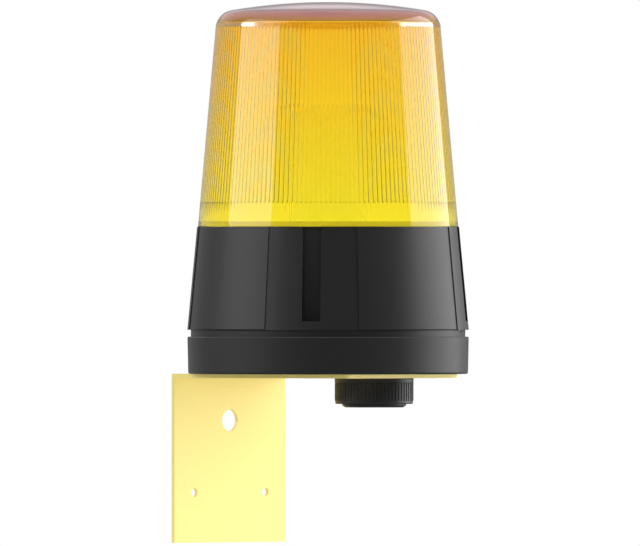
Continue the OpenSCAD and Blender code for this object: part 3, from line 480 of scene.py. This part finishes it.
# Painted light: the lens ring is painted far paler than its amber, standing in for the light that reaches
# it through the lens.
ring_amber = moulded_plastic("ring_amber", (1.0, 0.97, 0.5), (0.99, 0.95, 0.48), 0.4)
black = moulded_plastic("black_housing", (0.0155, 0.0155, 0.016), (0.0185, 0.0185, 0.019), 0.42, ior=1.42)
buzzer_black = moulded_plastic("black_buzzer", (0.017, 0.017, 0.017), (0.02, 0.02, 0.02), 0.42)
rubber = moulded_plastic("seal_rubber", (0.01, 0.01, 0.01), (0.014, 0.014, 0.014), 0.65, grain=0.00004)
coat = powder_coat("yellow_powder_coat", (0.97, 0.81, 0.235), (0.96, 0.8, 0.225))
zinc = turned_metal("zinc_plate", (0.66, 0.66, 0.68), 0.32)
copper = turned_metal("copper_winding", (0.72, 0.4, 0.2), 0.35)
brass = turned_metal("brass_disc", (0.78, 0.6, 0.28), 0.3)
white_plate = moulded_plastic("reflector_white", (0.8, 0.8, 0.79), (0.76, 0.76, 0.75), 0.3)
ceramic = moulded_plastic("glazed_ceramic", (0.8, 0.78, 0.72), (0.74, 0.72, 0.66), 0.2)
board = moulded_plastic("board_lacquer", (0.02, 0.12, 0.05), (0.03, 0.16, 0.07), 0.3)
sleeve = moulded_plastic("capacitor_sleeve", (0.02, 0.025, 0.1), (0.025, 0.03, 0.12), 0.25)
ferrite = moulded_plastic("ferrite_grey", (0.03, 0.03, 0.03), (0.045, 0.045, 0.045), 0.55)
tan = moulded_plastic("resistor_lacquer", (0.5, 0.36, 0.2), (0.44, 0.31, 0.17), 0.35)
grey = moulded_plastic("terminal_grey", (0.25, 0.26, 0.27), (0.22, 0.23, 0.24), 0.4)
glass = clear_glass("clear_glass")

paint([
    (coat, ["wall_bracket"]),
    (black, ["base_ring", "upper_housing"]),
    (buzzer_black, ["buzzer_body", "buzzer_cap"]),
    (rubber, ["housing_seal", "lens_seal", "buzzer_seal", "cable_grommet"]),
    (zinc, ["base_screws", "housing_screws", "board_screws", "terminal_screws"]),
    (zinc, ["tube_ends", "buzzer_nut", "fuse"]),
    (amber, ["lens"]),
    (ring_amber, ["lens_ring"]),
    (white_plate, ["reflector_plate"]),
    (ceramic, ["tube_socket"]),
    (glass, ["flash_tube", "tube_cover"]),
    (board, ["circuit_board"]),
    (sleeve, ["main_capacitor", "small_capacitors"]),
    (ferrite, ["inverter_transformer", "switching_transistor"]),
    (copper, ["trigger_coil"]),
    (tan, ["resistors"]),
    (grey, ["terminal_block"]),
    (brass, ["piezo_disc"]),
])
make_lens(amber)


# Level directions from the object to the camera and to the right of the picture, and straight up
AZIMUTH = math.radians(CAMERA_TURN)
TO_CAMERA = Vector((math.sin(AZIMUTH), -math.cos(AZIMUTH), 0))
TO_RIGHT = Vector((math.cos(AZIMUTH), math.sin(AZIMUTH), 0))
UP = Vector((0, 0, 1))


def direction(turn, elevation):
    """Unit vector turned by degrees from the camera's side towards the picture's right, and raised."""
    turn, elevation = math.radians(turn), math.radians(elevation)
    level = TO_CAMERA * math.cos(turn) + TO_RIGHT * math.sin(turn)
    return level * math.cos(elevation) + UP * math.sin(elevation)


def look_at(obj, target):
    obj.rotation_euler = (target - obj.location).to_track_quat("-Z", "Y").to_euler()


def make_camera():
    base_low, base_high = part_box("base_ring")
    axis = (base_low + base_high) / 2
    axis.z = base_low.z
    across = (MIDDLE_COLUMN - AXIS_COLUMN) * MM_PER_PIXEL * MM
    raised = (SHELF_ROW - MIDDLE_ROW) * MM_PER_PIXEL * MM
    target = axis + TO_RIGHT * across + UP * raised
    distance = PHOTO_W * MM_PER_PIXEL * MM * FOCAL_MM / SENSOR_MM
    data = bpy.data.cameras.new("camera")
    data.lens = FOCAL_MM
    data.sensor_width = SENSOR_MM
    data.clip_end = CLIP_END
    camera = bpy.data.objects.new("camera", data)
    camera.location = target + TO_CAMERA * distance
    look_at(camera, target)
    bpy.context.scene.collection.objects.link(camera)
    bpy.context.scene.camera = camera
    return target


def softbox(name, target, turn, elevation, distance, width, height, radiance):
    """A plain rectangular light that faces the target and is seen in neither picture nor lens."""
    data = bpy.data.lights.new(name, "AREA")
    data.shape = "RECTANGLE"
    data.size = width
    data.size_y = height
    data.energy = radiance * math.pi * width * height
    light = bpy.data.objects.new(name, data)
    light.location = target + direction(turn, elevation) * distance
    look_at(light, target)
    light.visible_camera = False
    light.visible_transmission = False
    bpy.context.scene.collection.objects.link(light)
    return light


class WorldTree:
    """The world's node tree, built with short calls."""

    def __init__(self):
        world = bpy.data.worlds.new("studio")
        bpy.context.scene.world = world
        world.use_nodes = True
        self.tree = world.node_tree
        self.tree.nodes.clear()
        self.path = self.add("ShaderNodeLightPath").outputs
        self.towards = self.add("ShaderNodeTexCoord").outputs["Generated"]

    def add(self, kind):
        return self.tree.nodes.new(kind)

    def along(self, vector, low, high, at_low, at_high):
        """Goes from at_low to at_high as the direction's part along the vector goes from low to high."""
        dot = self.add("ShaderNodeVectorMath")
        dot.operation = "DOT_PRODUCT"
        dot.inputs[1].default_value = vector
        self.tree.links.new(self.towards, dot.inputs[0])
        mapped = self.add("ShaderNodeMapRange")
        set_inputs(mapped, From_Min=low, From_Max=high, To_Min=at_low, To_Max=at_high)
        self.tree.links.new(dot.outputs["Value"], mapped.inputs["Value"])
        return mapped.outputs["Result"]

    def math(self, operation, first, second):
        node = self.add("ShaderNodeMath")
        node.operation = operation
        self.tree.links.new(first, node.inputs[0])
        self.tree.links.new(second, node.inputs[1])
        return node.outputs[0]

    def white(self, strength):
        node = self.add("ShaderNodeBackground")
        node.inputs["Color"].default_value = (1, 1, 1, 1)
        if isinstance(strength, float):
            node.inputs["Strength"].default_value = strength
        else:
            self.tree.links.new(strength, node.inputs["Strength"])
        return node.outputs[0]

    def mixed(self, factor, first, second):
        node = self.add("ShaderNodeMixShader")
        self.tree.links.new(factor, node.inputs[0])
        self.tree.links.new(first, node.inputs[1])
        self.tree.links.new(second, node.inputs[2])
        return node.outputs[0]


def make_world():
    """White to the camera and through the lens, softly lit, and a darker room in reflections."""
    world = WorldTree()
    ambient = world.along(UP, -0.3, 0.2, at_low=0.33, at_high=0.92)
    back = world.along(TO_CAMERA, -1.0, 0.3, at_low=0.42, at_high=0.02)
    overhead = world.along(UP, 0.5, 0.95, at_low=0.0, at_high=1.6)
    above_horizon = world.along(UP, 0.17, 0.25, at_low=0.0, at_high=1.0)
    behind = world.along(TO_CAMERA, -0.9, -0.3, at_low=0.55, at_high=0.0)
    left_wall = world.along(TO_RIGHT, -0.5, -0.2, at_low=0.12, at_high=0.0)
    room = world.math("ADD", back, overhead)
    room = world.math("ADD", room, world.math("MULTIPLY", above_horizon, behind))
    room = world.math("ADD", room, left_wall)
    reflected = world.mixed(world.path["Is Glossy Ray"], world.white(ambient), world.white(room))
    through = world.mixed(world.path["Is Transmission Ray"], reflected, world.white(WHITE_THROUGH))
    seen = world.mixed(world.path["Is Camera Ray"], through, world.white(WHITE_SEEN))
    output = world.add("ShaderNodeOutputWorld")
    world.tree.links.new(seen, output.inputs["Surface"])


def make_floor(target):
    """A pale round floor well below the object, which a wall holds up. It is seen from above only."""
    shape = bmesh.new()
    bmesh.ops.create_circle(shape, cap_ends=True, segments=FLOOR_SIDES, radius=FLOOR_R)
    mesh = bpy.data.meshes.new("floor")
    shape.to_mesh(mesh)
    shape.free()
    floor = bpy.data.objects.new("floor", mesh)
    floor.location = (target.x, target.y, cad_box[0][2] - FLOOR_DROP)
    bpy.context.scene.collection.objects.link(floor)
    material, tree, output = new_material("pale_floor")
    shader = principled(tree, output, Roughness=0.8)
    in_gloss = tree.nodes.new("ShaderNodeLightPath").outputs["Is Glossy Ray"]
    tone = mixed_colour(tree, in_gloss, (0.95, 0.95, 0.95), (0.06, 0.06, 0.06))
    tree.links.new(tone, shader.inputs["Base Color"])
    patches = noise(tree, object_position(tree), scale=3.0)
    tree.links.new(spread(tree, patches, 0.78, 0.84), shader.inputs["Roughness"])
    side = tree.nodes.new("ShaderNodeNewGeometry")
    one_sided = tree.nodes.new("ShaderNodeMixShader")
    clear = tree.nodes.new("ShaderNodeBsdfTransparent")
    tree.links.new(side.outputs["Backfacing"], one_sided.inputs[0])
    tree.links.new(shader.outputs["BSDF"], one_sided.inputs[1])
    tree.links.new(clear.outputs["BSDF"], one_sided.inputs[2])
    tree.links.new(one_sided.outputs["Shader"], output.inputs["Surface"])
    mesh.materials.append(material)


bpy.context.scene.view_settings.view_transform = "Standard"
aim = make_camera()
make_world()
softbox("right_softbox", aim, turn=107, elevation=16, distance=1.5,
        width=1.65, height=1.35, radiance=3.35)
left = softbox("left_softbox", aim, turn=-75, elevation=24, distance=1.5,
               width=1.34, height=1.0, radiance=3.5)
left.visible_diffuse = False
fill = softbox("fill", aim, turn=40, elevation=4, distance=2.5,
               width=1.0, height=1.0, radiance=1.6)
fill.visible_glossy = False
make_floor(aim)
